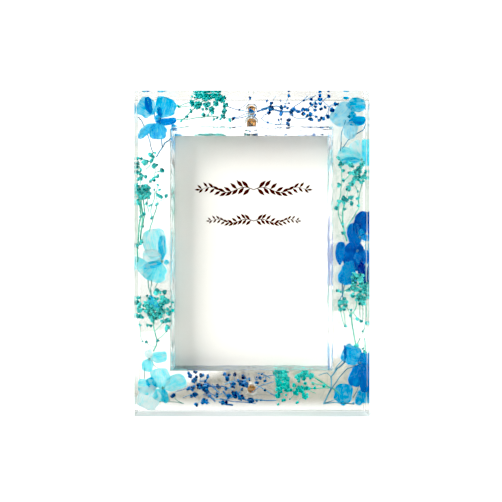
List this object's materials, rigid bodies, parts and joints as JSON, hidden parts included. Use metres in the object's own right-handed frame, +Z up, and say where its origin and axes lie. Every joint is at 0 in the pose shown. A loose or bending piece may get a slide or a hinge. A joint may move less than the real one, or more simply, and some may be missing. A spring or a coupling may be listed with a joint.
{
  "type": "pressed flower frame",
  "caption": "Standing picture frame of clear cast resin with dyed dried flowers sealed in its bars, a magnet-held clear back plate and a white paper insert in its window.",
  "frame": {"origin": "middle of the footprint on the surface it stands on: centred across the width and the depth, on the plane of the bottom edge", "axes": "+Z up along the height, +X to the viewer's right along the width, and the front face looks along -Y"},
  "size_m": [0.138, 0.025, 0.191],
  "materials": {
    "clear_resin": "clear cast resin, polished",
    "clear_acrylic": "clear acrylic sheet, polished",
    "paper": "white uncoated card, matte",
    "copper": "copper-coloured plating",
    "nickel": "nickel plating",
    "azure": "dyed dried petals, matte",
    "royal_blue": "dyed dried petals, matte",
    "pale_cyan": "dyed dried petals, matte",
    "teal": "dyed dried buds, matte",
    "navy": "dyed dried buds, matte"
  },
  "bodies": {
    "root": {"back_plate": "clear_acrylic", "block_magnet_bottom": "copper", "block_magnet_top_lower": "copper", "block_magnet_top_upper": "copper", "floret_azure_bottom_right": "azure", "floret_azure_foot": "azure", "floret_blue_top_left": "azure", "floret_pale_bottom_left": "pale_cyan", "floret_pale_left_lower": "pale_cyan", "floret_pale_left_middle": "pale_cyan", "floret_pale_right_upper": "pale_cyan", "floret_pale_top_right": "pale_cyan", "floret_royal_right_lower": "royal_blue", "floret_royal_right_upper": "royal_blue", "insert_card": "paper", "plate_magnet_bottom": "nickel", "plate_magnet_top_lower": "nickel", "plate_magnet_top_upper": "nickel", "resin_front_half": "clear_resin", "resin_rear_half": "clear_resin", "spray_navy_bottom": "navy", "spray_navy_top": "navy", "spray_teal_bottom": "teal", "spray_teal_left_lower": "teal", "spray_teal_left_upper": "teal", "spray_teal_right_lower": "teal", "spray_teal_right_upper": "teal", "spray_teal_top_left": "teal"}
  },
  "joints": []
}
